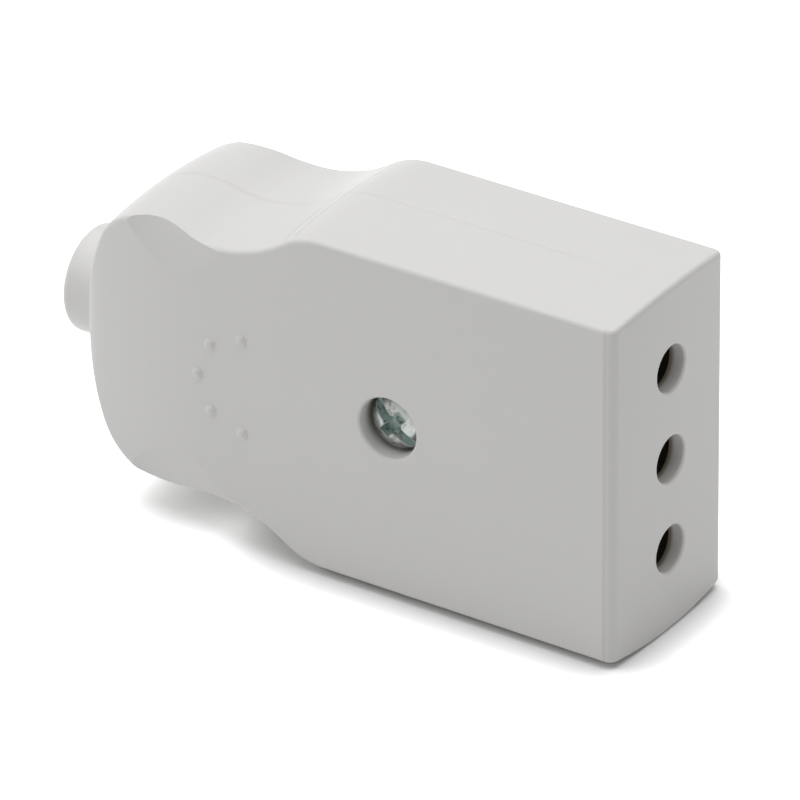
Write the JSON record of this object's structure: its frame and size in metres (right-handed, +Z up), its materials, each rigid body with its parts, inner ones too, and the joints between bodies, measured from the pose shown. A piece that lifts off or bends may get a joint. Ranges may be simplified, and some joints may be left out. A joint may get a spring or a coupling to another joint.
{
  "type": "power socket",
  "caption": "In-line power socket with round pin holes in its front, a waisted finger grip and a short cable collar, held together by a screw in its large face.",
  "frame": {"origin": "on the ground below the middle of the box", "axes": "+X along the socket, out of the pin holes; the large face with the screw is at -Y; +Z up, with the socket standing on a narrow side"},
  "size_m": [0.0644, 0.0193, 0.0362],
  "materials": {
    "housing": "semi-gloss",
    "carrier": "matt",
    "inner_plastic": "matt",
    "brass": "plain",
    "spring_steel": "plain",
    "plated_steel": "zinc plated"
  },
  "bodies": {
    "root": {"housing": "housing", "back_cover": "housing", "contact_carrier": "carrier", "clamp_bar": "inner_plastic", "contact_line": "brass", "contact_earth": "brass", "contact_neutral": "brass", "terminal_line": "brass", "terminal_earth": "brass", "terminal_neutral": "brass", "spring_line": "spring_steel", "spring_earth": "spring_steel", "spring_neutral": "spring_steel", "housing_screw": "plated_steel", "housing_nut": "plated_steel", "clamp_screw_upper": "plated_steel", "clamp_screw_lower": "plated_steel", "terminal_screw_line": "plated_steel", "terminal_screw_earth": "plated_steel", "terminal_screw_neutral": "plated_steel"}
  },
  "joints": []
}
